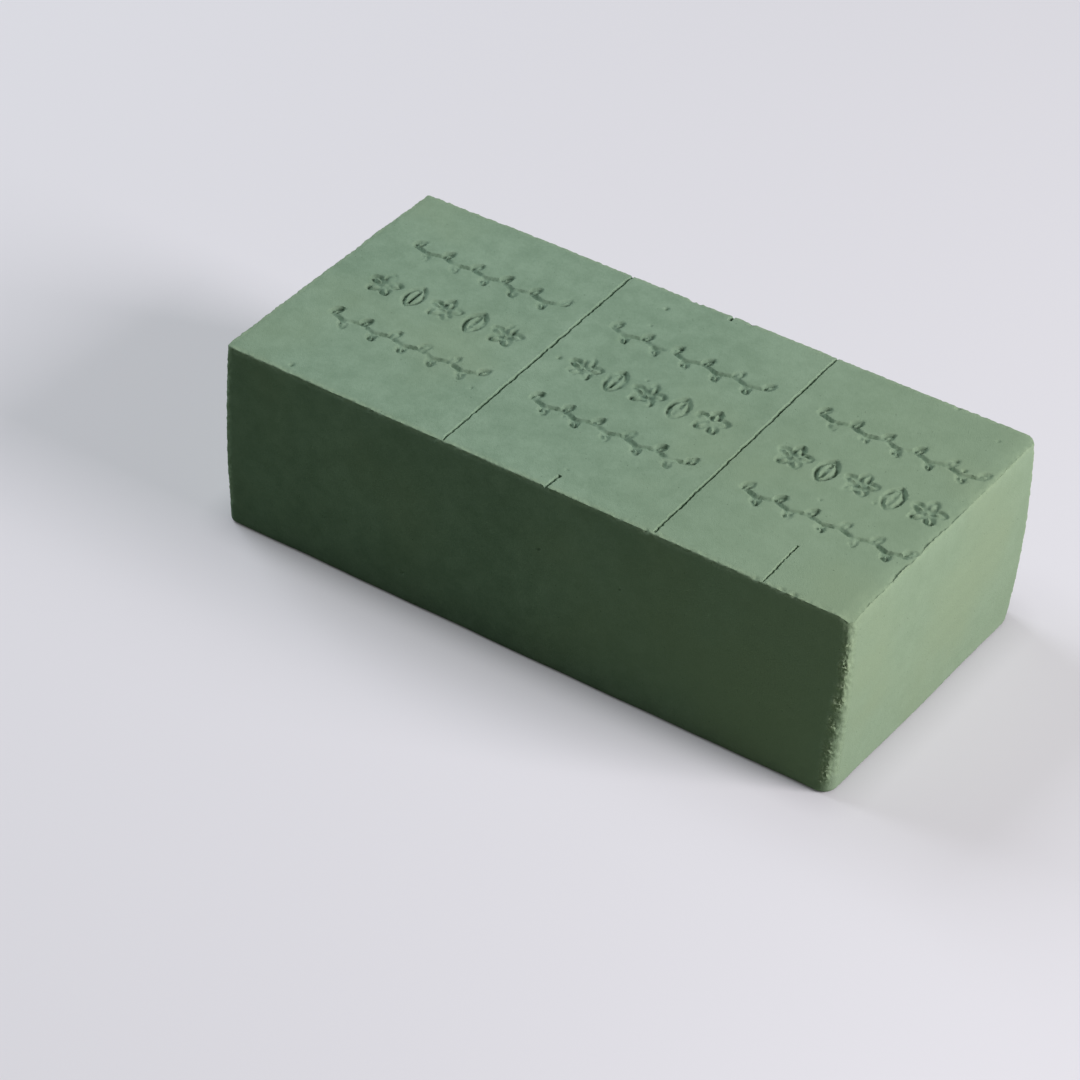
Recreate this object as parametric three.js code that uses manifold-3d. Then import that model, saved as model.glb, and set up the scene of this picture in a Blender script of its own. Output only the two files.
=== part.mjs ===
// A floral foam brick: one block of dry, crushable green foam. A roller has scored its top into
// three sections and pressed a botanical pattern into each. A florist cuts or snaps the end
// sections off along the two score lines, so each section is a piece of its own here, parted on
// the plane below its score line. Millimetres: +X runs along the length, +Y across the width,
// +Z up, and the origin is the middle of the underside.

import * as THREE from 'three';
import { ConvexGeometry } from 'three/addons/geometries/ConvexGeometry.js';
import { mergeVertices } from 'three/addons/utils/BufferGeometryUtils.js';
import Module from 'manifold-3d';

const wasm = await Module();
wasm.setup();

// The block.
const brick_length = 230;
const brick_width = 108; // at the left end
const right_flare = 2.5; // how much wider the block is at the right end
const brick_height = 70;
const end_skew = 2.5; // how far each sawn end runs out of square, across the width
const end_bulge = 1.2; // how far each end swells half way up
const left_radius_top = 2; // upright edges of the left end, at the top
const left_radius_foot = 3;
const near_radius_top = 2.5; // near upright edge of the right end
const near_radius_foot = 5;
const far_radius_top = 3.5; // far upright edge of the right end, the roundest
const far_radius_foot = 8;
const near_lean = 1.8; // how far the near edge's foot lies in from its top, along the brick
const foot_spread = 4; // the higher, the closer to the foot the edges stay as at the top
const top_chamfer = 0.8; // worn edge round the top face

// The scoring.
const section_pitch = 76; // from one score line to the other
const score_shift = 5.5; // how far the roller ran off the middle of the block
const score_width = 1.5;
const score_depth = 1.2;
const score_margin = 1.5; // from the near edge to the start of a score line
const parting_gap = 0.3; // between two sections that touch
const tick_width = 1.4; // short marks half way along a section
const tick_depth = 1;
const tick_near = 8; // the middle section's tick at the near edge
const tick_far = 4; // and at the far edge
const tick_right = 21; // the right section's tick, at the near edge only

// The pressed pattern: a row of flowers and large leaves between two vines, each a zigzag stem
// with a small leaf at every turn, up and down by turns.
const stamp_depth = 1;
const stamp_stroke = 1.2;
const stamp_shift = 2.5; // the middle row's place across the width
const row_pitch = 23;
const leaf_count = 11;
const leaf_pitch = 5.6;
const leaf_width = 3;
const leaf_height = 4.8;
const leaf_lean = THREE.MathUtils.degToRad(28);
const vine_sway = 0.9; // how far a turn of the vine lies from its middle
const large_count = 5;
const large_pitch = 11.6;
const large_leaf_width = 6.8;
const large_leaf_height = 12;
const petal_count = 5;
const petal_width = 3.9;
const petal_height = 5.4;
const flower_eye = 0.6; // from the flower's middle to the foot of each petal

// How far a cutter stands past the face that it cuts.
const overrun = 2;
const corner_steps = 4;
const outline_steps = 8;

const left_line = score_shift - section_pitch / 2;
const right_line = score_shift + section_pitch / 2;

// --- joins and cuts ---------------------------------------------------------------------------

// A closed geometry as a solid that can be joined and cut.
function solid(geometry) {
  const bare = geometry.clone();
  bare.deleteAttribute('normal');
  bare.deleteAttribute('uv');
  const merged = mergeVertices(bare, 1e-4);
  return new wasm.Manifold(new wasm.Mesh({
    numProp: 3,
    vertProperties: new Float32Array(merged.attributes.position.array),
    triVerts: new Uint32Array(merged.index.array),
  }));
}

function geometryOf(body) {
  const { vertProperties, triVerts } = body.getMesh();
  const geometry = new THREE.BufferGeometry();
  geometry.setAttribute('position', new THREE.BufferAttribute(vertProperties, 3));
  geometry.setIndex(new THREE.BufferAttribute(triVerts, 1));
  geometry.computeVertexNormals();
  return geometry;
}

function joined(bodies) {
  return bodies.reduce((whole, body) => whole.add(body));
}

// --- the block --------------------------------------------------------------------------------

// Half the block's width at x.
function halfWidth(x) {
  return (brick_width + right_flare * (0.5 + x / brick_length)) / 2;
}

// The two ends are sawn parallel, so the plan is a rectangle pushed out of square.
function outOfSquare(x, y) {
  const half = brick_length / 2;
  return (x * (half - end_skew / 2)) / half + (end_skew * y) / brick_width;
}

// The radius of an upright edge at a share of the block's height.
function edgeRadius(sideX, sideY, share) {
  const spread = (1 - share) ** foot_spread;
  if (sideX < 0) return THREE.MathUtils.lerp(left_radius_top, left_radius_foot, spread);
  if (sideY < 0) return THREE.MathUtils.lerp(near_radius_top, near_radius_foot, spread);
  return THREE.MathUtils.lerp(far_radius_top, far_radius_foot, spread);
}

// The block's outline at a share of its height, each corner an arc, drawn in by inset.
function outline(share, inset) {
  const points = [];
  const x = brick_length / 2 + end_bulge * Math.sin(share * Math.PI) - inset;
  for (const [sideX, sideY] of [[-1, -1], [1, -1], [1, 1], [-1, 1]]) {
    const radius = edgeRadius(sideX, sideY, share);
    const lean = sideX > 0 && sideY < 0 ? near_lean * (1 - share) : 0;
    const y = halfWidth(sideX * brick_length / 2) - inset;
    for (let step = 0; step <= corner_steps; step++) {
      const angle = (step / corner_steps) * (Math.PI / 2);
      const cornerX = sideX * (x - radius + radius * Math.cos(angle)) - lean;
      const cornerY = sideY * (y - radius + radius * Math.sin(angle));
      points.push(new THREE.Vector3(outOfSquare(cornerX, cornerY), cornerY, share * brick_height));
    }
  }
  return points;
}

// The upright edges are sharper at the top than at the foot, and the top's own edge is worn.
function block() {
  const points = outline(1, top_chamfer);
  for (let step = 0; step <= outline_steps; step++) {
    points.push(...outline((step / outline_steps) * (1 - top_chamfer / brick_height), 0));
  }
  return solid(new ConvexGeometry(points));
}

// Everything between two planes across the length.
function slab(from, to) {
  const depth = brick_width + right_flare + 2 * overrun;
  const height = brick_height + 2 * overrun;
  const box = new THREE.BoxGeometry(to - from, depth, height);
  return solid(box.translate((from + to) / 2, 0, brick_height / 2));
}

// --- score lines and ticks --------------------------------------------------------------------

// A V cut into the top at x, running across the width from one y to another.
function groove(x, fromY, toY, width, depth) {
  const flare = (width / 2) * (1 + overrun / depth);
  const profile = new THREE.Shape([
    new THREE.Vector2(0, -depth),
    new THREE.Vector2(flare, overrun),
    new THREE.Vector2(-flare, overrun),
  ]);
  const cut = new THREE.ExtrudeGeometry(profile, { depth: toY - fromY, bevelEnabled: false });
  return solid(cut.rotateX(Math.PI / 2).translate(x, toY, brick_height));
}

function scoreLine(x) {
  const edge = halfWidth(x);
  return groove(x, -edge + score_margin, edge + overrun, score_width, score_depth);
}

function tickFromNear(x, length) {
  const edge = -halfWidth(x);
  return groove(x, edge - overrun, edge + length, tick_width, tick_depth);
}

function tickFromFar(x, length) {
  const edge = halfWidth(x);
  return groove(x, edge - length, edge + overrun, tick_width, tick_depth);
}

// --- the pressed pattern ----------------------------------------------------------------------

// A leaf shape: two equal arcs that meet in points at the tip and at the foot.
function leaf(width, height, Kind = THREE.Shape) {
  const radius = (width ** 2 + height ** 2) / (4 * width);
  const reach = Math.asin(height / 2 / radius);
  const outlineOf = new Kind();
  outlineOf.absarc(width / 2 - radius, 0, radius, -reach, reach, false);
  outlineOf.absarc(radius - width / 2, 0, radius, Math.PI - reach, Math.PI + reach, false);
  outlineOf.closePath();
  return outlineOf;
}

// The same leaf drawn as a stroke: its arcs keep their centres and lose the stroke's width.
function leafStroke(width, height) {
  const radius = (width ** 2 + height ** 2) / (4 * width);
  const innerHeight = 2 * Math.sqrt((radius - stamp_stroke) ** 2 - (radius - width / 2) ** 2);
  const ring = leaf(width, height);
  ring.holes.push(leaf(width - 2 * stamp_stroke, innerHeight, THREE.Path));
  return ring;
}

function pressed(shape) {
  return new THREE.ExtrudeGeometry(shape, {
    depth: stamp_depth + overrun, bevelEnabled: false, curveSegments: 2,
  });
}

// A mark is turned, moved to its place in the pattern and set stamp_depth below the top.
function placed(geometry, angle, x, y) {
  return solid(geometry.rotateZ(angle).translate(x, y, brick_height - stamp_depth));
}

// A straight stroke of this length, along Y.
function line(length) {
  const height = stamp_depth + overrun;
  return new THREE.BoxGeometry(stamp_stroke, length, height).translate(0, 0, height / 2);
}

// A zigzag stem with its middle on y, and a leaf that points away from it at each turn.
function vine(x, y) {
  const marks = [];
  for (let i = 0; i < leaf_count; i++) {
    const side = i % 2 ? -1 : 1;
    const turnX = x + (i - (leaf_count - 1) / 2) * leaf_pitch;
    const blade = pressed(leaf(leaf_width, leaf_height)).translate(0, leaf_height / 2, 0);
    const lean = side > 0 ? -leaf_lean : Math.PI + leaf_lean;
    marks.push(placed(blade, lean, turnX, y + side * vine_sway));
    if (i > 0) {
      const run = Math.hypot(leaf_pitch, 2 * vine_sway) + stamp_stroke / 2;
      const slope = Math.atan2(leaf_pitch, side * 2 * vine_sway);
      marks.push(placed(line(run), -slope, turnX - leaf_pitch / 2, y));
    }
  }
  return joined(marks);
}

// A leaf with its midrib.
function largeLeaf(x, y) {
  return placed(pressed(leafStroke(large_leaf_width, large_leaf_height)), 0, x, y)
    .add(placed(line(large_leaf_height * 0.6), 0, x, y));
}

function flower(x, y) {
  const petals = [];
  for (let petal = 0; petal < petal_count; petal++) {
    const shape = pressed(leafStroke(petal_width, petal_height));
    shape.translate(0, flower_eye + petal_height / 2, 0);
    petals.push(placed(shape, (petal / petal_count) * 2 * Math.PI, x, y));
  }
  return joined(petals);
}

// One section's pattern, centred on x.
function pattern(x) {
  const marks = [vine(x, stamp_shift - row_pitch), vine(x, stamp_shift + row_pitch)];
  for (let i = 0; i < large_count; i++) {
    const place = x + (i - (large_count - 1) / 2) * large_pitch;
    marks.push(i % 2 ? largeLeaf(place, stamp_shift) : flower(place, stamp_shift));
  }
  return joined(marks);
}

// --- the sections -----------------------------------------------------------------------------

const foam = {
  left_section: '#7d9a82',
  middle_section: '#7f9b82',
  right_section: '#83a085',
};

// A section is the block between two planes, less its scoring and its pattern. Its own origin is
// on the underside, half way between those planes.
function section(name, from, to, centre, cuts) {
  const middle = (from + to) / 2;
  const body = block().intersect(slab(from, to)).subtract(joined([...cuts, pattern(centre)]));
  const material = new THREE.MeshStandardMaterial({
    color: foam[name], roughness: 0.95, metalness: 0, flatShading: true,
  });
  const mesh = new THREE.Mesh(geometryOf(body).translate(-middle, 0, 0), material);
  mesh.name = name;
  mesh.position.set(middle, 0, 0);
  return mesh;
}

const left_end = -brick_length / 2 - end_bulge - overrun;
const right_end = brick_length / 2 + end_bulge + overrun;
const left_centre = left_line - section_pitch / 2;
const right_centre = right_line + section_pitch / 2;

const brick = new THREE.Group();
brick.add(
  section('left_section', left_end, left_line - parting_gap / 2, left_centre, [
    scoreLine(left_line),
  ]),
  section('middle_section', left_line + parting_gap / 2, right_line - parting_gap / 2, score_shift, [
    scoreLine(left_line),
    scoreLine(right_line),
    tickFromNear(score_shift, tick_near),
    tickFromFar(score_shift, tick_far),
  ]),
  section('right_section', right_line + parting_gap / 2, right_end, right_centre, [
    scoreLine(right_line),
    tickFromNear(right_centre, tick_right),
  ]),
);

export default brick;
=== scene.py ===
# %% [markdown]
# # A brick of dry floral foam
# A florist's brick is one block of very light, crushable green foam. A roller has scored its top
# into three sections and pressed rows of leaves and flowers into it. Here the whole brick is
# modelled as one block first, worn, pressed and scored, and is parted into its three sections
# last. They then meet exactly while the brick is whole, and show torn foam when they come apart.

# %% The frame and the sizes that it gives
import math
import random

import bpy
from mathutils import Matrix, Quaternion, Vector


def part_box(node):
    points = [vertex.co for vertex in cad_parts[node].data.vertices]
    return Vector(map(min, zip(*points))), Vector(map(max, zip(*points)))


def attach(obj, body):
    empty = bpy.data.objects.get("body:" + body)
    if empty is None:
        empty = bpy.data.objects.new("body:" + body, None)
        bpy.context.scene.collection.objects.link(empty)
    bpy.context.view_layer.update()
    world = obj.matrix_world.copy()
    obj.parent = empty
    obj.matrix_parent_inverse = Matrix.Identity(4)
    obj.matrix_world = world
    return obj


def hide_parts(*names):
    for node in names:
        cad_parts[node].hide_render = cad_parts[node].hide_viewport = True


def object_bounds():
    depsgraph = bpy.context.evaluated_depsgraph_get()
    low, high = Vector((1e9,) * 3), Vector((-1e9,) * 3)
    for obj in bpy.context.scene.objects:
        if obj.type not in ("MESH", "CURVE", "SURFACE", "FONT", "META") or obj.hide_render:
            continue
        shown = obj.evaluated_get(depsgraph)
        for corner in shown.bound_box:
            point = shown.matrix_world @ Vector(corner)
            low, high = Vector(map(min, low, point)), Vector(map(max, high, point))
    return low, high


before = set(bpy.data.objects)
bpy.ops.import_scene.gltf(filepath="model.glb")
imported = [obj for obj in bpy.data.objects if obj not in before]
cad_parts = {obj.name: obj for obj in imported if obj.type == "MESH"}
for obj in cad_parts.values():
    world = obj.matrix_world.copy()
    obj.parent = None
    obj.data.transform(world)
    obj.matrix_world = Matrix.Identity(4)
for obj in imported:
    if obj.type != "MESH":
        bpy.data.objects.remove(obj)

MM = 0.001
cad_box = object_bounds()
low, high = (Vector(corner) for corner in cad_box)
width, height = high.y - low.y, high.z
# The sections are parted by narrow gaps, and a score line lies in the middle of each.
left_line = (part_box("left_section")[1][0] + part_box("middle_section")[0][0]) / 2
right_line = (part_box("middle_section")[1][0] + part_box("right_section")[0][0]) / 2
middle = (left_line + right_line) / 2
pitch = right_line - left_line
print(f"brick {high.x - low.x:.4f} x {width:.4f} x {height:.4f} m, "
      f"score lines at x = {left_line:.4f} and {right_line:.4f}")

# %% [markdown]
# ## The camera
# A long lens from well above the brick keeps its edges nearly parallel. A camera could be placed
# by its own position and three angles, but those are hard to judge. So it is placed by the point
# on the floor that it looks at, the direction that it looks from and its distance, and is then
# rolled a little about its own line of sight.

# %% Camera
look_at = Vector((-27.5, -2.9, 0)) * MM
from_right, from_above = math.radians(31.75), math.radians(38.76)
roll = math.radians(2.77)
distance = 1283.8 * MM
lens = 132.6  # millimetres, on a sensor 36 mm wide

back = Vector((
    math.sin(from_right) * math.cos(from_above),
    -math.cos(from_right) * math.cos(from_above),
    math.sin(from_above),
))
camera_data = bpy.data.cameras.new("camera")
camera_data.lens = lens
camera_data.clip_start = 0.01
camera = bpy.data.objects.new("camera", camera_data)
bpy.context.collection.objects.link(camera)
camera.location = look_at + back * distance
camera.rotation_mode = "QUATERNION"
camera.rotation_quaternion = back.to_track_quat("Z", "Y") @ Quaternion((0, 0, 1), roll)
bpy.context.scene.camera = camera
print("camera at", tuple(round(value, 3) for value in camera.location))

# %% [markdown]
# ## Working by hand, in code
# Every operator acts on what is selected, so one helper selects a single object and nothing else.
# Another adds a modifier and applies it, and a third chooses vertices by their place. With them
# the steps below read as the clicks that they stand for.

# %% Helpers for selecting and shaping


def alone(*objects):
    """Leaves edit mode, selects these objects and nothing else, and makes the first active."""
    if bpy.context.mode != "OBJECT":
        bpy.ops.object.mode_set(mode="OBJECT")
    bpy.ops.object.select_all(action="DESELECT")
    for each in objects:
        each.select_set(True)
    bpy.context.view_layer.objects.active = objects[0]
    return objects[0]


def choose(piece, wanted):
    """In edit mode afterwards, with just the vertices selected whose place is wanted."""
    alone(piece)
    bpy.ops.object.mode_set(mode="EDIT")
    bpy.ops.mesh.select_mode(type="VERT")
    bpy.ops.mesh.select_all(action="DESELECT")
    bpy.ops.object.mode_set(mode="OBJECT")
    for vertex in piece.data.vertices:
        vertex.select = wanted(vertex.co)
    bpy.ops.object.mode_set(mode="EDIT")
    bpy.ops.mesh.select_mode(type="VERT")


def shape(piece, kind, **settings):
    """Adds a modifier with these settings and applies it."""
    alone(piece)
    bpy.ops.object.modifier_add(type=kind)
    modifier = piece.modifiers[-1]
    for name, value in settings.items():
        setattr(modifier, name, value)
    bpy.ops.object.modifier_apply(modifier=modifier.name)
    return piece


def copy_of(piece, name):
    """A copy with a mesh of its own."""
    twin = piece.copy()
    twin.data = piece.data.copy()
    twin.name = twin.data.name = name
    bpy.context.collection.objects.link(twin)
    return twin


def remove(*objects):
    alone(*objects)
    bpy.ops.object.delete()


# %% [markdown]
# ## The plain block
# The mould leaves the upright edges rounder at the foot than at the top and the block a little
# wider at its right end, and the ends are out of square and swell half way up. A bevel has one
# radius along an edge, so the block is lofted instead: outlines at several heights, each a plane
# whose corners are bevelled, are bridged from the foot to the top.

# %% Sizes of the plain block
end_skew = 2.5 * MM  # how far each end runs out of square, across the width
end_bulge = 1.2 * MM  # how far each end swells half way up
right_flare = 2.5 * MM  # how much wider the block is at the right end
left_radius = {"top": 2 * MM, "foot": 3 * MM}
near_radius = {"top": 2.5 * MM, "foot": 5 * MM}  # of the right end's near edge
far_radius = {"top": 3.5 * MM, "foot": 8 * MM}  # and of its far edge
foot_spread = 4  # the higher, the closer to the foot the edges stay as at the top
near_lean = 1.8 * MM  # how far the near edge's foot lies in from its top, along the brick
top_wear = 0.5 * MM  # bevel round the top face
foot_round = 1.3 * MM  # bevel round the underside
corner_segments = 6
outline_steps = 8
length = high.x - low.x - end_skew - 2 * end_bulge


# %% Outline, loft and ends
def outline(share):
    """A plane at a share of the height, its corners rounder at the right end than at the left."""
    bpy.ops.object.select_all(action="DESELECT")
    bpy.ops.mesh.primitive_plane_add(size=1, location=(0, 0, share * height))
    plane = bpy.context.object
    long = length + 2 * end_bulge * math.sin(share * math.pi)
    bpy.ops.transform.resize(value=(long, width - right_flare, 1))
    bpy.ops.object.transform_apply(location=True, rotation=True, scale=True)
    corners = ((-1, -1, left_radius), (-1, 1, left_radius), (1, -1, near_radius), (1, 1, far_radius))
    for side_x, side_y, radius in corners:
        choose(plane, lambda place: place.x * side_x > length / 2 - 0.1 * MM and place.y * side_y > 0)
        bpy.ops.mesh.bevel(
            offset=radius["top"] + (radius["foot"] - radius["top"]) * (1 - share) ** foot_spread,
            segments=corner_segments, affect="VERTICES",
        )
    choose(plane, lambda place: place.x > 0 and place.y < 0)
    bpy.ops.transform.translate(value=(-near_lean * (1 - share), 0, 0))
    bpy.ops.object.mode_set(mode="OBJECT")
    return plane


outlines = [outline(step / outline_steps) for step in range(outline_steps + 1)]
block = alone(*outlines)
bpy.ops.object.join()
block.name = "block"
bpy.ops.object.mode_set(mode="EDIT")
bpy.ops.mesh.select_all(action="SELECT")
bpy.ops.mesh.delete(type="ONLY_FACE")
bpy.ops.mesh.select_all(action="SELECT")
bpy.ops.mesh.bridge_edge_loops()
for z in (0, height):
    choose(block, lambda place: abs(place.z - z) < 0.01 * MM)
    bpy.ops.mesh.edge_face_add()
bpy.ops.mesh.select_all(action="SELECT")
bpy.ops.mesh.normals_make_consistent(inside=False)

# Each end is turned about its own middle, so one corner goes out and the other comes in.
for side in (-1, 1):
    choose(block, lambda place: place.x * side > length / 2 - 2 * far_radius["foot"])
    bpy.ops.transform.rotate(
        value=math.atan(end_skew / width), orient_axis="Z",
        center_override=(side * length / 2, 0, 0),
    )
choose(block, lambda place: place.x > 0)
bpy.ops.transform.resize(
    value=(1, width / (width - right_flare), 1), center_override=(0, 0, 0),
)
for z, rounding in ((0, foot_round), (height, top_wear)):
    choose(block, lambda place: abs(place.z - z) < 0.01 * MM)
    bpy.ops.mesh.bevel(offset=rounding, segments=3, affect="EDGES")
bpy.ops.object.mode_set(mode="OBJECT")
print("plain block:", len(block.data.vertices), "vertices,",
      [round(side / MM, 2) for side in block.dimensions], "mm")

# %% [markdown]
# ## The dies of the pressed pattern
# On the real brick raised shapes on a roller press the pattern in. It could be cut with solid
# strokes and a Boolean, which leaves sharp walls, or drawn as bump, which is flat from the side.
# Here each mark is a wire, made of edges with no faces, and the skin is pushed down near it, so a
# stroke has the round, soft walls of crushed foam. A leaf is one point spun into an arc, and the
# arc turned half round to make the other side. A flower is five narrow leaves about its middle,
# and a vine is a zigzag stem with a small leaf at every turn.

# %% Sizes of the pattern
stamp_depth = 1.25 * MM
stamp_shift = 2.5 * MM  # the middle row's place across the width
row_pitch = 23 * MM
leaf_count, leaf_pitch = 11, 5.6 * MM
leaf_size = (1.8 * MM, 3.8 * MM)  # along the wire, so half a stroke inside the pressed mark
leaf_lean = math.radians(28)
vine_sway = 0.9 * MM  # how far a turn of the vine lies from its middle
large_count, large_pitch = 5, 11.6 * MM
large_leaf_size = (5.6 * MM, 11 * MM)
petal_count, petal_size = 5, (2.7 * MM, 4.5 * MM)
petal_foot = 1.1 * MM  # from the flower's middle to the foot of each petal


# %% Wire leaf and flower
def point(name, place):
    """A mesh of one vertex: a small plane merged into its centre."""
    bpy.ops.object.select_all(action="DESELECT")
    bpy.ops.mesh.primitive_plane_add(size=MM, location=place)
    bpy.context.object.name = name
    bpy.ops.object.transform_apply(location=True)
    bpy.ops.object.mode_set(mode="EDIT")
    bpy.ops.mesh.select_mode(type="VERT")
    bpy.ops.mesh.select_all(action="SELECT")
    bpy.ops.mesh.merge(type="CENTER")
    return bpy.context.object


def wire_through(name, *places):
    """A wire through these places, divided into short pieces."""
    wire = point(name, places[0])
    for start, end in zip(places, places[1:]):
        bpy.ops.mesh.extrude_region_move(
            TRANSFORM_OT_translate={"value": tuple(Vector(end) - Vector(start))},
        )
    bpy.ops.mesh.select_mode(type="EDGE")
    bpy.ops.mesh.select_all(action="SELECT")
    bpy.ops.mesh.subdivide(number_cuts=20)
    bpy.ops.object.mode_set(mode="OBJECT")
    return wire


def wire_leaf(name, size, middle_y=0):
    """A leaf round (0, middle_y), its tip towards +Y."""
    across, along = size
    radius = (across ** 2 + along ** 2) / (4 * across)
    reach = math.asin(along / 2 / radius)
    wire = point(name, (0, middle_y - along / 2, height))
    bpy.ops.mesh.spin(
        steps=8, angle=2 * reach, axis=(0, 0, -1), center=(across / 2 - radius, middle_y, height),
    )
    bpy.ops.mesh.select_all(action="SELECT")
    bpy.ops.mesh.duplicate()
    bpy.ops.transform.rotate(
        value=math.pi, orient_axis="Z", center_override=(0, middle_y, height),
    )
    bpy.ops.mesh.select_all(action="SELECT")
    bpy.ops.mesh.remove_doubles(threshold=0.01 * MM)
    bpy.ops.object.mode_set(mode="OBJECT")
    return wire


def wire_flower(name):
    """Narrow leaves turned about the flower's middle."""
    petals = []
    for i in range(petal_count):
        petal = wire_leaf("petal", petal_size, middle_y=petal_foot + petal_size[1] / 2)
        petal.rotation_euler.z = 2 * math.pi * i / petal_count
        petals.append(petal)
    alone(*petals)
    bpy.ops.object.transform_apply(location=False, rotation=True, scale=False)
    bpy.ops.object.join()
    bpy.context.object.name = name
    return bpy.context.object


def wire_ribbed_leaf(name):
    """A large leaf with a midrib."""
    rib_end = large_leaf_size[1] * 0.3
    rib = wire_through("rib", (0, -rib_end, height), (0, rib_end, height))
    leaf = wire_leaf(name, large_leaf_size)
    alone(leaf, rib)
    bpy.ops.object.join()
    return leaf


def wire_vine(name):
    """A zigzag stem, and a leaf that points away from it at each turn."""
    turns = [
        Vector(((i - (leaf_count - 1) / 2) * leaf_pitch, vine_sway * (-1) ** i, height))
        for i in range(leaf_count)
    ]
    parts = [wire_through(name, *turns)]
    for i, turn in enumerate(turns):
        leaf = wire_leaf("leaf", leaf_size, middle_y=leaf_size[1] / 2)
        leaf.location = (turn.x, turn.y, 0)
        leaf.rotation_euler.z = math.pi + leaf_lean if i % 2 else -leaf_lean
        parts.append(leaf)
    alone(*parts)
    bpy.ops.object.transform_apply()
    bpy.ops.object.join()
    return bpy.context.object


# %% [markdown]
# One section's pattern is a row of flowers and large leaves between two vines. The roller repeats
# it at every section, and at the right end it runs off the block.

# %% The die of a section, and the whole roller
vine, large, bloom = wire_vine("vine"), wire_ribbed_leaf("large"), wire_flower("bloom")
marks = []


def stamp(master, x, y):
    mark = copy_of(master, "mark")
    mark.location = (x, y, 0)
    marks.append(mark)


for centre in (middle - pitch, middle, middle + pitch):
    stamp(vine, centre, stamp_shift - row_pitch)
    stamp(vine, centre, stamp_shift + row_pitch)
    for i in range(large_count):
        x = centre + (i - (large_count - 1) / 2) * large_pitch
        stamp(large if i % 2 else bloom, x, stamp_shift)

remove(vine, large, bloom)
roller = alone(*marks)
bpy.ops.object.transform_apply()
bpy.ops.object.join()
roller.name = "roller"
print("roller:", len(marks), "marks,", len(roller.data.edges), "wires")

# %% [markdown]
# ## The foam surface
# Foam has no edges of its own: it is the same all the way through. So the plain block is turned
# into an even skin of small quads by a voxel remesh, fine enough to hold a pressed stroke and a
# crumb. Before that, its sharp edges above the foot are kept as a wire, to wear the skin near them
# later. The skin of the two ends is kept as a group, which the finishes paint a little paler as
# painted light.

# %% Sharp edges, then the skin
foot_zone = 3 * MM  # the edges below this height aren't worn
end_face_normal = 0.7  # where the normal runs along X by more than this, the skin is an end's and gets painted light
edges = copy_of(block, "edges")
alone(edges)
bpy.ops.object.mode_set(mode="EDIT")
bpy.ops.mesh.select_mode(type="EDGE")
bpy.ops.mesh.select_all(action="DESELECT")
bpy.ops.mesh.edges_select_sharp(sharpness=math.radians(10))
bpy.ops.mesh.select_all(action="INVERT")
bpy.ops.mesh.delete(type="EDGE")
choose(edges, lambda place: place.z < foot_zone)
bpy.ops.mesh.delete(type="VERT")
bpy.ops.object.mode_set(mode="OBJECT")

cell = 0.42 * MM
shape(block, "REMESH", mode="VOXEL", voxel_size=cell)
# The end faces are kept as a group, which the finishes paint paler as painted light.
painted_end_light = block.vertex_groups.new(name="painted_end_light")
painted_end_light.add([v.index for v in block.data.vertices if abs(v.normal.x) > end_face_normal], 1.0, "REPLACE")
print("skin:", len(block.data.vertices), "vertices,", len(edges.data.edges), "sharp edges")

# %% [markdown]
# ## Pressing, wear and pits
# Each kind of mark is a vertex group: its weight falls from 1 at a wire to 0 a little way off.
# A Displace modifier then moves the skin by that weight. Where the pattern is to be faint in
# places, as a worn die leaves it, a cloud texture masks the weight first.

# %% Helpers for marks on the skin


def clouds(name, size, depth=2, contrast=1.0, kind="CLOUDS"):
    texture = bpy.data.textures.new(name, kind)
    texture.noise_scale = size
    texture.contrast = contrast
    if kind == "CLOUDS":
        texture.noise_depth = depth
    return texture


def near(piece, group, wires, reach, full=0.0, mask=None, points=False):
    """Gives each vertex a weight: 1 within full of the wires, falling to 0 at reach."""
    vertices = piece.vertex_groups.new(name=group)
    vertices.add(range(len(piece.data.vertices)), 0.0, "REPLACE")
    settings = {"mask_texture": mask, "mask_tex_mapping": "LOCAL"} if mask else {}
    shape(
        piece, "VERTEX_WEIGHT_PROXIMITY", vertex_group=group, target=wires,
        proximity_mode="GEOMETRY", proximity_geometry={"VERTEX"} if points else {"EDGE"},
        min_dist=full, max_dist=reach, falloff_type="SMOOTH", invert_falloff=True, **settings,
    )


def push(piece, amount, group="", texture=None, direction="NORMAL", level=0.0):
    """Moves the skin by amount, negative inwards, by a group's weight and a texture."""
    settings = {"texture": texture, "texture_coords": "LOCAL"} if texture else {}
    shape(
        piece, "DISPLACE", strength=amount, mid_level=level, direction=direction,
        vertex_group=group, **settings,
    )


# %% The pressed pattern
faint = clouds("faint", 5 * MM, contrast=2.6)
faint.intensity = 1.25
near(block, "pressed", roller, reach=1.0 * MM, full=0.32 * MM, mask=faint)
push(block, -stamp_depth, "pressed", direction="Z")
remove(roller)

# %% [markdown]
# Foam crumbles where it is handled. All edges above the foot are a little bruised, the top edge of
# the right end is frayed in and out, and beside the upright edge at its near corner the skin has
# gone, so the cells show as a rough, ragged strip. Sculpting by hand would do this once. Wires and
# cloud textures do it again in the same way on every run.

# %% Wear along the edges
worn_reach, worn_depth = 1.9 * MM, 0.4 * MM
frayed_reach, frayed_depth = 6 * MM, 1.0 * MM
bared_full, bared_reach = 0.8 * MM, 2.6 * MM
bared_relief, bared_level = 1.2 * MM, 0.43  # cells below this level sink in, and others stand out
crumbs = clouds("crumbs", 1.5 * MM, depth=2, contrast=1.6)
near(block, "worn", edges, reach=worn_reach)
push(block, -worn_depth, "worn", crumbs)
remove(edges)

right_end = length / 2
near_side, far_side = -width / 2, width / 2
frayed_edge = wire_through(
    "frayed_edge",
    (right_end - end_skew / 2, near_side, height), (right_end + end_skew / 2, far_side, height),
)
frays = clouds("frays", 10 * MM, depth=3, contrast=1.4)
near(block, "frayed", frayed_edge, reach=frayed_reach)
push(block, -frayed_depth, "frayed", frays)
remove(frayed_edge)

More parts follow.
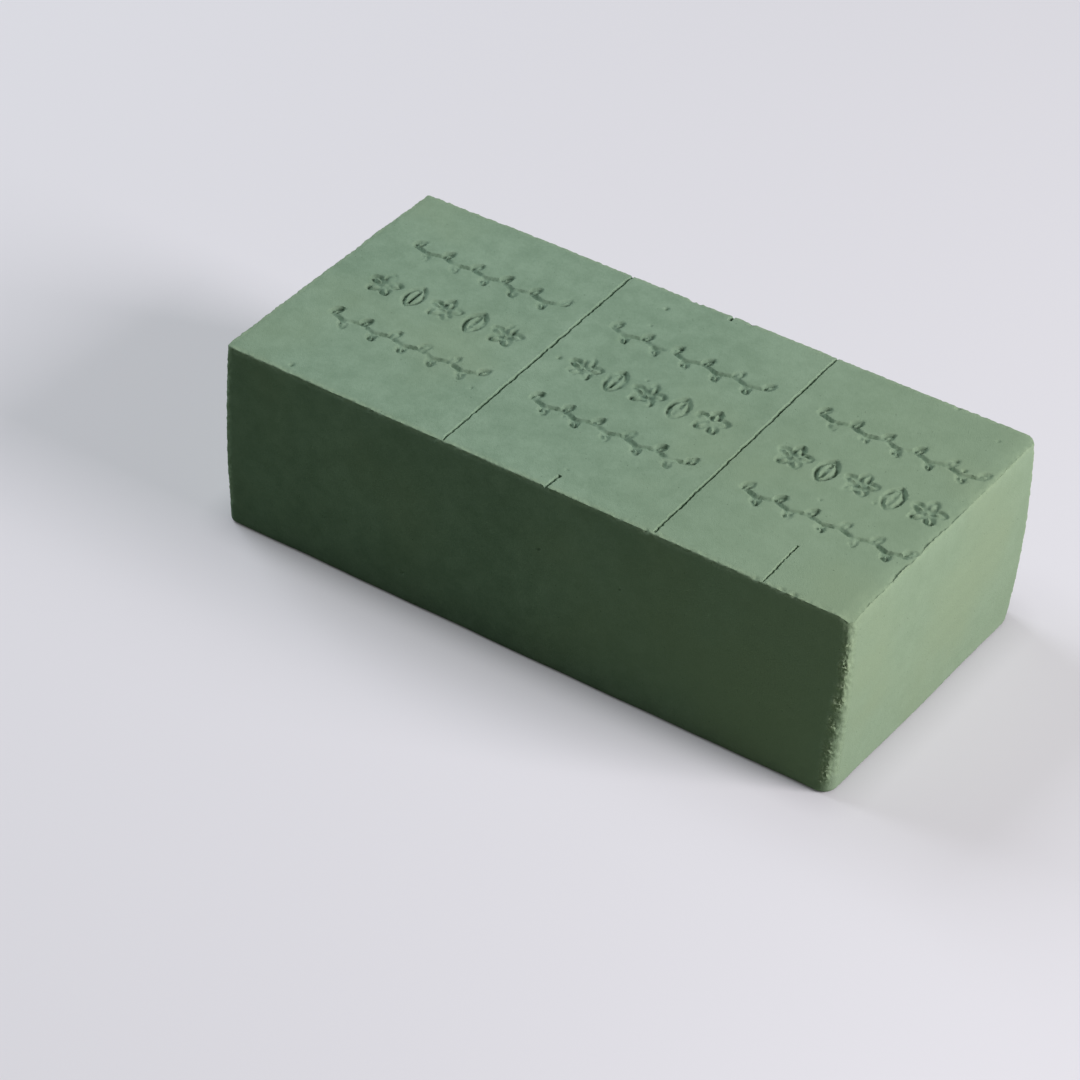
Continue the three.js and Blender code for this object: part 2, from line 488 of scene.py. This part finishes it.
corner_x, corner_y = right_end - end_skew / 2, near_side + 0.3 * MM
bared_edge = wire_through(
    "bared_edge", (corner_x - 1.3 * MM, corner_y, 0.87 * height),
    (corner_x - 2.2 * MM, corner_y, 0.55 * height), (corner_x - 4.4 * MM, corner_y, 0.3 * height),
    (corner_x - 4.2 * MM, corner_y, 0.08 * height),
)
cells = clouds("cells", 0.85 * MM, kind="VORONOI")
patchy = clouds("patchy", 5 * MM, contrast=2.4)
near(block, "bared", bared_edge, reach=bared_reach, full=bared_full, mask=patchy)
push(block, bared_relief, "bared", cells, level=bared_level)
remove(bared_edge)

# %% [markdown]
# Single pits and chips are dents round loose points. The four large pits and the chips on the near
# edge are given one by one, where the real brick has them, and the small ones are scattered by
# chance, from a fixed seed. The near corner of the right end is lowered a little in the same way.

# %% Pits and chips
random.seed(11)
upright = (0.1 * height, 0.95 * height)


def pressed_points(places):
    """One object holding a loose point at each place."""
    points = []
    for place in places:
        points.append(point("pit", place))
        bpy.ops.object.mode_set(mode="OBJECT")
    alone(*points)
    bpy.ops.object.join()
    return bpy.context.object


def pitted(group, places, reach, depth, direction="NORMAL"):
    pits = pressed_points(places)
    near(block, group, pits, reach=reach, full=reach / 8, points=True)
    push(block, -depth, group, direction=direction)
    remove(pits)


large_pits = [(x * MM, y * MM, height) for x, y in ((-92, -50), (-27, 2.5), (-14, 45), (104, 27))]
chips = [(x * MM, near_side + 0.6 * MM, height) for x in (-60.4, 41, 79, 88, 92)]
chips += [(random.uniform(-0.45, 0.45) * length, far_side - 1.2 * MM, height) for i in range(4)]
tiny_pits = []
for i in range(9):
    tiny_pits += [
        (random.uniform(-0.48, 0.48) * length, random.uniform(-0.45, 0.45) * width, height),
        (random.uniform(-0.48, 0.48) * length, near_side + right_flare / 4, random.uniform(*upright)),
        (right_end, random.uniform(-0.45, 0.45) * width, random.uniform(*upright)),
    ]
pitted("pits", large_pits, reach=1.15 * MM, depth=1.0 * MM)
pitted("chips", chips, reach=1.5 * MM, depth=0.55 * MM)
pitted("tiny_pits", tiny_pits, reach=0.8 * MM, depth=0.5 * MM)
pitted("bruise", [(corner_x, near_side, height)], reach=6 * MM, depth=1.1 * MM, direction="Z")

# %% [markdown]
# No face of a foam brick is quite flat. A broad, low cloud pushes the whole skin in and out, and a
# fine one gives it grain. Bump alone would give the grain, but the outline would stay straight.

# %% Unevenness and grain all over
unevenness = clouds("unevenness", 34 * MM, depth=2)
push(block, 0.7 * MM, texture=unevenness, level=0.55)
grain = clouds("grain", 0.9 * MM, depth=1)
push(block, -0.1 * MM, texture=grain)
print("skin worn:", len(block.data.vertices), "vertices")

# %% [markdown]
# A skin of equal cells spends most of its faces on flat foam. Decimate takes them away where
# they say least, and leaves them at strokes and crumbs.

# %% Fewer faces where the foam is flat
most_faces = 440_000
block.data.calc_loop_triangles()
faces = len(block.data.loop_triangles)
if faces > most_faces:
    shape(block, "DECIMATE", ratio=most_faces / faces)
print("skin:", faces, "triangles, now", len(block.data.polygons))

# %% [markdown]
# ## Score lines and ticks
# The roller's blades leave shallow, slightly ragged cuts: two across the top, from just inside the
# near edge to the far edge, and short ticks half way along a section. Each cut is made by a wedge,
# taken away by a Boolean. A wedge is a bar divided into short lengths, its lower edges drawn
# together, and its sides made uneven.

# %% Sizes of the cuts
score_width, score_depth = 1.3 * MM, 0.95 * MM
score_margin = 1.5 * MM  # from the near edge to the start of a score line
tick_width, tick_depth = 1.6 * MM, 1.2 * MM
tick_near, tick_far = 8 * MM, 4 * MM  # lengths of the middle section's two ticks
tick_turn = 0.1  # radians, of its near one
tick_right = 21 * MM  # length of the right section's tick
faint_share = 0.5  # the right section's tick is this much narrower and shallower
overrun = 2 * MM  # how far a wedge stands past what it cuts
point_share = 0.06  # of a wedge's width that is left at its point
cut_step = 0.5 * MM  # between a wedge's divisions
ragged_push, wandering_push = 0.8 * MM, 0.5 * MM  # of its sides, and of its depth
ragged = clouds("ragged", 1.2 * MM, depth=2, contrast=1.5)
wandering = clouds("wandering", 4 * MM, depth=2, contrast=1.6)


# %% Wedges
def wedge(x, from_y, to_y, cut_width, depth, turn=0.0):
    """A bar along Y, cut_width across at the top, that narrows to a blunt point at depth."""
    run = to_y - from_y
    top_width = cut_width * (depth + overrun) / depth
    bpy.ops.object.select_all(action="DESELECT")
    bpy.ops.mesh.primitive_cube_add(size=1, location=(0, 0, height + (overrun - depth) / 2))
    bar = bpy.context.object
    bpy.ops.transform.resize(value=(top_width, run, depth + overrun))
    bpy.ops.object.transform_apply(location=True, rotation=True, scale=True)
    bpy.ops.object.mode_set(mode="EDIT")
    bpy.ops.mesh.select_mode(type="EDGE")
    bpy.ops.mesh.select_all(action="DESELECT")
    bpy.ops.object.mode_set(mode="OBJECT")
    corners = bar.data.vertices
    for edge in bar.data.edges:
        start, end = (corners[i].co for i in edge.vertices)
        edge.select = abs(start.y - end.y) > run / 2
    bpy.ops.object.mode_set(mode="EDIT")
    bpy.ops.mesh.subdivide(number_cuts=round(run / cut_step))
    bpy.ops.object.mode_set(mode="OBJECT")
    choose(bar, lambda place: place.z < height)
    bpy.ops.transform.resize(value=(point_share, 1, 1), center_override=(0, 0, 0))
    bpy.ops.mesh.select_all(action="SELECT")
    bpy.ops.transform.rotate(value=turn, orient_axis="Z", center_override=(0, 0, 0))
    bpy.ops.transform.translate(value=(x, (from_y + to_y) / 2, 0))
    bpy.ops.object.mode_set(mode="OBJECT")
    push(bar, ragged_push, texture=ragged, direction="X", level=0.5)
    push(bar, wandering_push, texture=wandering, direction="Z", level=0.5)
    return bar


right_middle = right_line + pitch / 2
wedges = [
    wedge(left_line, near_side + score_margin, far_side + overrun, score_width, score_depth),
    wedge(right_line, near_side + score_margin, far_side + overrun, score_width, score_depth),
    wedge(middle, near_side - overrun, near_side + tick_near,
          tick_width, tick_depth, turn=tick_turn),
    wedge(middle, far_side - tick_far, far_side + overrun, tick_width, tick_depth),
    wedge(right_middle, near_side - overrun, near_side + tick_right,
          tick_width * faint_share, tick_depth * faint_share),
]
for cutter in wedges:
    shape(block, "BOOLEAN", object=cutter, operation="DIFFERENCE", solver="MANIFOLD")
remove(*wedges)
print("scored:", len(block.data.polygons), "faces")

# %% [markdown]
# ## Finishes
# Foam is one stuff all through, but it shows two faces. The skin, which the mould and the roller
# have pressed, is a dull, slightly bluish green with soft blotches. Where it is torn or bruised
# its open cells show, paler and yellower, with pores painted dark as shade. Both finishes are made
# from the same three groups: blotches of colour, cells, and marks that follow the pressing and the
# wear on the skin. The pressed strokes are painted darker, a painted shade, and the end faces a
# little paler, a painted light.

# %% Masks that the shaders read


def to_attribute(piece, group):
    """Copies a vertex group's weights to a float attribute of the same name."""
    index = piece.vertex_groups[group].index
    weights = [0.0] * len(piece.data.vertices)
    for vertex in piece.data.vertices:
        for each in vertex.groups:
            if each.group == index:
                weights[vertex.index] = each.weight
    piece.vertex_groups.remove(piece.vertex_groups[group])
    mask = piece.data.attributes.new(group, "FLOAT", "POINT")
    mask.data.foreach_set("value", weights)


# %% Helpers for shader nodes


def new_group(name, inputs, outputs):
    """A node group whose sockets are given as name: default value or kind."""
    group = bpy.data.node_groups.new(name, "ShaderNodeTree")
    for socket, value in inputs.items():
        kind = "NodeSocketColor" if isinstance(value, tuple) else "NodeSocketFloat"
        group.interface.new_socket(socket, in_out="INPUT", socket_type=kind).default_value = value
    for socket, kind in outputs.items():
        group.interface.new_socket(socket, in_out="OUTPUT", socket_type=kind)
    return group, group.nodes.new("NodeGroupInput").outputs, group.nodes.new("NodeGroupOutput").inputs


def node(tree, kind, inputs=None, **settings):
    """A node with its settings, each input given as a value or as the socket that feeds it."""
    made = tree.nodes.new(kind)
    for name, value in settings.items():
        setattr(made, name, value)
    for name, value in (inputs or {}).items():
        if isinstance(value, bpy.types.NodeSocket):
            tree.links.new(value, made.inputs[name])
        else:
            made.inputs[name].default_value = value
    return made


def noise(tree, place, size, detail=2.0, roughness=0.5):
    """Soft noise whose lumps are about size across."""
    return node(
        tree, "ShaderNodeTexNoise",
        {"Vector": place, "Scale": 1 / size, "Detail": detail, "Roughness": roughness},
    ).outputs["Fac"]


def ramp(tree, value, low, high, to_low=0.0, to_high=1.0):
    """A value stretched from low..high to to_low..to_high, and held there."""
    return node(
        tree, "ShaderNodeMapRange",
        {"Value": value, "From Min": low, "From Max": high, "To Min": to_low, "To Max": to_high},
        interpolation_type="SMOOTHSTEP",
    ).outputs["Result"]


def maths(tree, operation, first, second):
    return node(tree, "ShaderNodeMath", {0: first, 1: second}, operation=operation).outputs[0]


def mixed(tree, share, first, second, blend="MIX"):
    """Two colours mixed, the second by share."""
    mix = node(tree, "ShaderNodeMix", data_type="RGBA", blend_type=blend)
    for socket, value in ((mix.inputs[0], share), (mix.inputs[6], first), (mix.inputs[7], second)):
        if isinstance(value, bpy.types.NodeSocket):
            tree.links.new(value, socket)
        else:
            socket.default_value = value
    return mix.outputs[2]


# %% Blotches: a colour that wanders at three sizes
blotches, taken, given = new_group(
    "blotches",
    {"Deep": (0.16, 0.26, 0.17, 1), "Pale": (0.26, 0.38, 0.27, 1), "Warm": (0.26, 0.36, 0.2, 1),
     "Spread": 1.0},
    {"Color": "NodeSocketColor"},
)
here = node(blotches, "ShaderNodeTexCoord").outputs["Object"]
broad_share, patchy_share, speck_share = 0.33, 0.47, 0.2
broad = ramp(blotches, noise(blotches, here, 45 * MM, detail=2), 0.35, 0.65)
patchy = ramp(blotches, noise(blotches, here, 7 * MM, detail=5, roughness=0.62), 0.32, 0.68)
specks = ramp(blotches, noise(blotches, here, 0.9 * MM, detail=2), 0.3, 0.7)
level = maths(
    blotches, "ADD",
    maths(blotches, "ADD", maths(blotches, "MULTIPLY", broad, broad_share),
          maths(blotches, "MULTIPLY", patchy, patchy_share)),
    maths(blotches, "MULTIPLY", specks, speck_share),
)
level = maths(blotches, "ADD", maths(
    blotches, "MULTIPLY", maths(blotches, "SUBTRACT", level, 0.5), taken["Spread"]), 0.5)
colour = mixed(blotches, level, taken["Deep"], taken["Pale"])
along = node(blotches, "ShaderNodeSeparateXYZ", {"Vector": here}).outputs["X"]
warmth = maths(
    blotches, "ADD", ramp(blotches, along, -20 * MM, 110 * MM, to_high=0.6),
    ramp(blotches, noise(blotches, here, 60 * MM, detail=3), 0.45, 0.7, to_high=0.4),
)
blotches.links.new(mixed(blotches, warmth, colour, taken["Warm"]), given["Color"])

# %% Cells: fine open cells, their height, and their pores, which the finishes paint dark as shade
cells_group, taken, given = new_group(
    "cells", {"Size": 0.35 * MM, "Openness": 0.3},
    {"Height": "NodeSocketFloat", "Pores": "NodeSocketFloat"},
)
warp_scale, pore_scale = 900.0, 420.0  # lumps and pores per metre
here = node(cells_group, "ShaderNodeTexCoord").outputs["Object"]
scale = maths(cells_group, "DIVIDE", 1.0, taken["Size"])
warp = node(cells_group, "ShaderNodeTexNoise", {"Vector": here, "Scale": warp_scale, "Detail": 1.0})
bent = node(
    cells_group, "ShaderNodeVectorMath",
    {0: here, 1: node(
        cells_group, "ShaderNodeVectorMath", {0: warp.outputs["Color"], "Scale": 0.25 * MM},
        operation="SCALE").outputs[0]},
    operation="ADD",
).outputs[0]
walls = node(cells_group, "ShaderNodeTexVoronoi", {"Vector": bent, "Scale": scale}, feature="F1")
rise = ramp(cells_group, walls.outputs["Distance"], 0.1, 0.6)
fine = noise(cells_group, here, 0.5 * MM, detail=3, roughness=0.6)
cells_group.links.new(
    maths(cells_group, "ADD", maths(cells_group, "MULTIPLY", rise, 0.5), fine), given["Height"])
# The pores' dark colour in the finishes is painted shade.
hole = node(
    cells_group, "ShaderNodeTexVoronoi", {"Vector": bent, "Scale": pore_scale}, feature="F1")
opening = maths(cells_group, "MULTIPLY", taken["Openness"], 0.45)
pores = node(
    cells_group, "ShaderNodeMapRange",
    {"Value": hole.outputs["Distance"], "From Min": opening, "From Max": 0.0,
     "To Min": 0.0, "To Max": 1.0},
).outputs["Result"]
chance = ramp(cells_group, noise(cells_group, here, 6 * MM, detail=3), 0.45, 0.62)
cells_group.links.new(maths(cells_group, "MULTIPLY", pores, chance), given["Pores"])

# %% Marks: how pressed, worn or bared the skin is, broken up by the cells, and where the ends are; the pressed mask carries painted shade and the ends' mask painted light
marks_group, taken, given = new_group(
    "marks", {"Break up": 0.5},
    {"Pressed": "NodeSocketFloat", "Worn": "NodeSocketFloat", "Bared": "NodeSocketFloat",
     "Painted_end_light": "NodeSocketFloat", "Crumble": "NodeSocketFloat"},
)
here = node(marks_group, "ShaderNodeTexCoord").outputs["Object"]
grit = ramp(marks_group, noise(marks_group, here, 1.1 * MM, detail=4, roughness=0.65), 0.35, 0.65)
broken = node(
    marks_group, "ShaderNodeMapRange",
    {"Value": grit, "From Min": 0.0, "From Max": 1.0, "To Max": 1.0,
     "To Min": maths(marks_group, "SUBTRACT", 1.0, taken["Break up"])},
).outputs["Result"]


def mask_of(attribute):
    return node(marks_group, "ShaderNodeAttribute", attribute_name=attribute).outputs["Fac"]


# The pressed mask carries the painted shade of the strokes; the worn and bared masks are wear.
for socket in ("Pressed", "Worn", "Bared"):
    broken_mask = maths(marks_group, "MULTIPLY", mask_of(socket.lower()), broken)
    marks_group.links.new(broken_mask, given[socket])
loose = noise(marks_group, here, 0.8 * MM, detail=2)
marks_group.links.new(maths(marks_group, "MULTIPLY", mask_of("bared"), loose), given["Crumble"])
# The ends' mask, by which the finishes paint the ends paler as painted light.
marks_group.links.new(mask_of("painted_end_light"), given["Painted_end_light"])


# %% Pressed skin and torn foam
crushed, open_cells = (0.3, 0.41, 0.26, 1), (0.35, 0.45, 0.28, 1)
# Painted shade: the colours that pressed strokes and pores are darkened to, as if in shadow.
painted_stroke_shade, painted_pore_shade = (0.1, 0.17, 0.12, 1), (0.03, 0.055, 0.03, 1)
# Painted light: how much paler the end faces are painted.
painted_end_light_tint = (1.12, 1.08, 1.13, 1)
crumble_relief = 9.0  # how much further loose cells stand out than the foam's own


def foam(name, cell_size, openness, bump, spread, deep, pale, warm):
    """A dull foam: blotches of colour, fine cells as bump, pores and pressed strokes painted dark as
    shade, and ends painted paler as light.
    """
    material = bpy.data.materials.new(name)
    material.use_nodes = True
    tree = material.node_tree
    shader = tree.nodes["Principled BSDF"]
    shader.inputs["Specular IOR Level"].default_value = 0.2
    colour = node(
        tree, "ShaderNodeGroup", {"Deep": deep, "Pale": pale, "Warm": warm, "Spread": spread},
        node_tree=blotches,
    ).outputs["Color"]
    cells = node(
        tree, "ShaderNodeGroup", {"Size": cell_size, "Openness": openness}, node_tree=cells_group,
    ).outputs
    marks = node(tree, "ShaderNodeGroup", {"Break up": 0.6}, node_tree=marks_group).outputs
    # Painted light: the end faces are made paler.
    colour = mixed(tree, marks["Painted_end_light"], colour, painted_end_light_tint, blend="MULTIPLY")
    # Worn and bared foam take their own paler colours; the pressed strokes and the pores are darkened
    # as painted shade.
    for mask, share, tone in (
        (marks["Worn"], 0.5, crushed), (marks["Bared"], 0.8, open_cells),
        (marks["Pressed"], 0.5, painted_stroke_shade), (cells["Pores"], 0.8, painted_pore_shade),
    ):
        colour = mixed(tree, maths(tree, "MULTIPLY", mask, share), colour, tone)
    tree.links.new(colour, shader.inputs["Base Color"])
    tree.links.new(
        ramp(tree, cells["Height"], 0.2, 1.2, to_low=1.0, to_high=0.82), shader.inputs["Roughness"])
    relief = maths(tree, "SUBTRACT", cells["Height"], cells["Pores"])
    relief = maths(tree, "ADD", relief, maths(tree, "MULTIPLY", marks["Crumble"], crumble_relief))
    tree.links.new(
        node(tree, "ShaderNodeBump", {"Height": relief, "Distance": bump, "Strength": 1.0}).outputs[0],
        shader.inputs["Normal"],
    )
    return material


skin = foam(
    "pressed_skin", cell_size=0.4 * MM, openness=0.25, bump=0.07 * MM, spread=0.85,
    deep=(0.172, 0.27, 0.182, 1), pale=(0.256, 0.376, 0.267, 1), warm=(0.23, 0.322, 0.205, 1),
)
torn = foam(
    "torn_foam", cell_size=0.55 * MM, openness=0.45, bump=0.2 * MM, spread=1.0,
    deep=(0.17, 0.27, 0.16, 1), pale=(0.3, 0.43, 0.28, 1), warm=(0.28, 0.39, 0.23, 1),
)
for group in ("frayed", "pits", "chips", "tiny_pits", "bruise"):
    block.vertex_groups.remove(block.vertex_groups[group])
for group in ("pressed", "worn", "bared", "painted_end_light"):
    to_attribute(block, group)
block.data.materials.clear()
block.data.materials.append(skin)
print("finishes:", skin.name, "and", torn.name)

# %% [markdown]
# ## Parting the brick
# Foam breaks along a rough, granular face. A finely divided sheet below each score line is made
# uneven and thickened into a block that holds everything to its left. What a section shares with
# that block is one piece, and what is left is the other, so both get the same torn face.

# %% Torn faces and sections
tear_depth, tear_grain = 1.6 * MM, 0.7 * MM  # from the lowest to the highest, broad and fine
tear_low = clouds("tear_low", 14 * MM, depth=3)
tear_high = clouds("tear_high", 1.6 * MM, depth=1)


def left_of(x):
    """A block of everything to the left of x, whose right face is torn foam."""
    margin = 8 * MM
    tall, wide = height + 2 * margin, width + 2 * margin
    step = 0.9 * MM
    bpy.ops.object.select_all(action="DESELECT")
    bpy.ops.mesh.primitive_grid_add(
        x_subdivisions=round(tall / step), y_subdivisions=round(wide / step), size=1,
        rotation=(0, math.pi / 2, 0), location=(x, 0, height / 2),
    )
    sheet = bpy.context.object
    bpy.ops.object.transform_apply(location=True, rotation=True)
    choose(sheet, lambda place: True)
    bpy.ops.transform.resize(value=(1, wide, tall), center_override=(x, 0, height / 2))
    bpy.ops.object.mode_set(mode="OBJECT")
    push(sheet, tear_depth, texture=tear_low, direction="X", level=0.5)
    push(sheet, tear_grain, texture=tear_high, direction="X", level=0.5)
    choose(sheet, lambda place: True)
    bpy.ops.mesh.extrude_region_move(TRANSFORM_OT_translate={"value": (-2 * length, 0, 0)})
    bpy.ops.mesh.select_all(action="SELECT")
    bpy.ops.mesh.normals_make_consistent(inside=False)
    bpy.ops.object.mode_set(mode="OBJECT")
    sheet.data.materials.append(torn)
    return sheet


def parted(piece, name, cutter, operation):
    section = copy_of(piece, name)
    shape(
        section, "BOOLEAN", object=cutter, operation=operation, solver="MANIFOLD",
        material_mode="TRANSFER",
    )
    return section


left_block, right_block = left_of(left_line), left_of(right_line)
left_foam = parted(block, "left_foam", left_block, "INTERSECT")
rest = parted(block, "rest", left_block, "DIFFERENCE")
middle_foam = parted(rest, "middle_foam", right_block, "INTERSECT")
right_foam = parted(rest, "right_foam", right_block, "DIFFERENCE")
remove(block, rest, left_block, right_block)
sections = {
    "left": (left_foam, "left_section"),
    "middle": (middle_foam, "middle_section"),
    "right": (right_foam, "right_section"),
}
for section, cad_node in sections.values():
    alone(section)
    bpy.ops.object.shade_smooth_by_angle(angle=math.radians(50))
    section.data.calc_loop_triangles()
    print(cad_node, len(section.data.loop_triangles), "triangles",
          [material.name for material in section.data.materials])

# %% [markdown]
# ## Riding on the bodies
# Each section follows one body of the frame, so it moves off when that body does. It stands for
# the plain section of the same place, which is hidden.

# %% Riding
for body, (section, cad_node) in sections.items():
    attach(section, body)
    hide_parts(cad_node)

# %% [markdown]
# ## Floor and light
# The brick lies on plain pale paper. A soft light low on the right gives the top its shallow
# shading and the right end its brightness, and a weaker, cooler one from the left softens its
# shadow. Both are behind the near side, which gets what the paper throws back and a little from
# a small card close by on the right. The paper looks pale but throws back little, as if it ended
# just outside the picture. It also glows a little for the camera, a painted light that lifts its
# shadows, and the glow fades where the brick's foot covers it from all sides, a painted shade.

# %% Floor
paper_seen, paper_thrown = (0.5, 0.505, 0.535, 1), (0.24, 0.285, 0.21, 1)
painted_floor_light = (0.245, 0.245, 0.252, 1)
bpy.ops.object.select_all(action="DESELECT")
bpy.ops.mesh.primitive_plane_add(size=12, location=(0, 0, 0))
floor = bpy.context.object
floor.name = "floor"
paper = bpy.data.materials.new("floor_paper")
paper.use_nodes = True
paper_shader = paper.node_tree.nodes["Principled BSDF"]
paper_shader.inputs["Roughness"].default_value = 0.9
paper_shader.inputs["Specular IOR Level"].default_value = 0.1
seen = node(paper.node_tree, "ShaderNodeLightPath").outputs["Is Camera Ray"]
paper.node_tree.links.new(
    mixed(paper.node_tree, seen, paper_thrown, paper_seen),
    paper_shader.inputs["Base Color"],
)
# Painted light: the paper glows for the camera, which lifts its shadows.
paper_shader.inputs["Emission Color"].default_value = painted_floor_light
# Painted shade: ambient occlusion dims the glow near the brick's foot.
painted_shade_ao = node(paper.node_tree, "ShaderNodeAmbientOcclusion", {"Distance": 12 * MM}).outputs["AO"]
paper.node_tree.links.new(
    maths(paper.node_tree, "MULTIPLY", seen, painted_shade_ao), paper_shader.inputs["Emission Strength"])
floor.data.materials.append(paper)


# %% Lights
def softbox(name, from_x_axis, above, away, size, power, colour):
    """A square light, aimed at the brick's foot from a direction and a distance."""
    data = bpy.data.lights.new(name, "AREA")
    data.shape, data.size, data.energy, data.color = "SQUARE", size, power, colour
    light = bpy.data.objects.new(name, data)
    bpy.context.collection.objects.link(light)
    turn, rise = math.radians(from_x_axis), math.radians(above)
    towards = Vector((
        math.cos(turn) * math.cos(rise), math.sin(turn) * math.cos(rise), math.sin(rise),
    ))
    light.location = towards * away
    light.rotation_euler = towards.to_track_quat("Z", "Y").to_euler()
    light.visible_camera = False


softbox("key", 10, 30, away=1.7, size=0.7, power=33.5, colour=(1.0, 0.93, 0.95))
softbox("second", 175, 45, away=1.7, size=1.0, power=17.8, colour=(0.96, 0.99, 1.04))
softbox("card", -42, 19, away=0.31, size=0.15, power=0.02, colour=(1.0, 1.0, 1.0))
world = bpy.data.worlds.new("studio")
bpy.context.scene.world = world
world.use_nodes = True
world.node_tree.nodes["Background"].inputs["Color"].default_value = (0.78, 1.0, 0.68, 1)
world.node_tree.nodes["Background"].inputs["Strength"].default_value = 0.011
bpy.context.scene.view_settings.view_transform = "Standard"
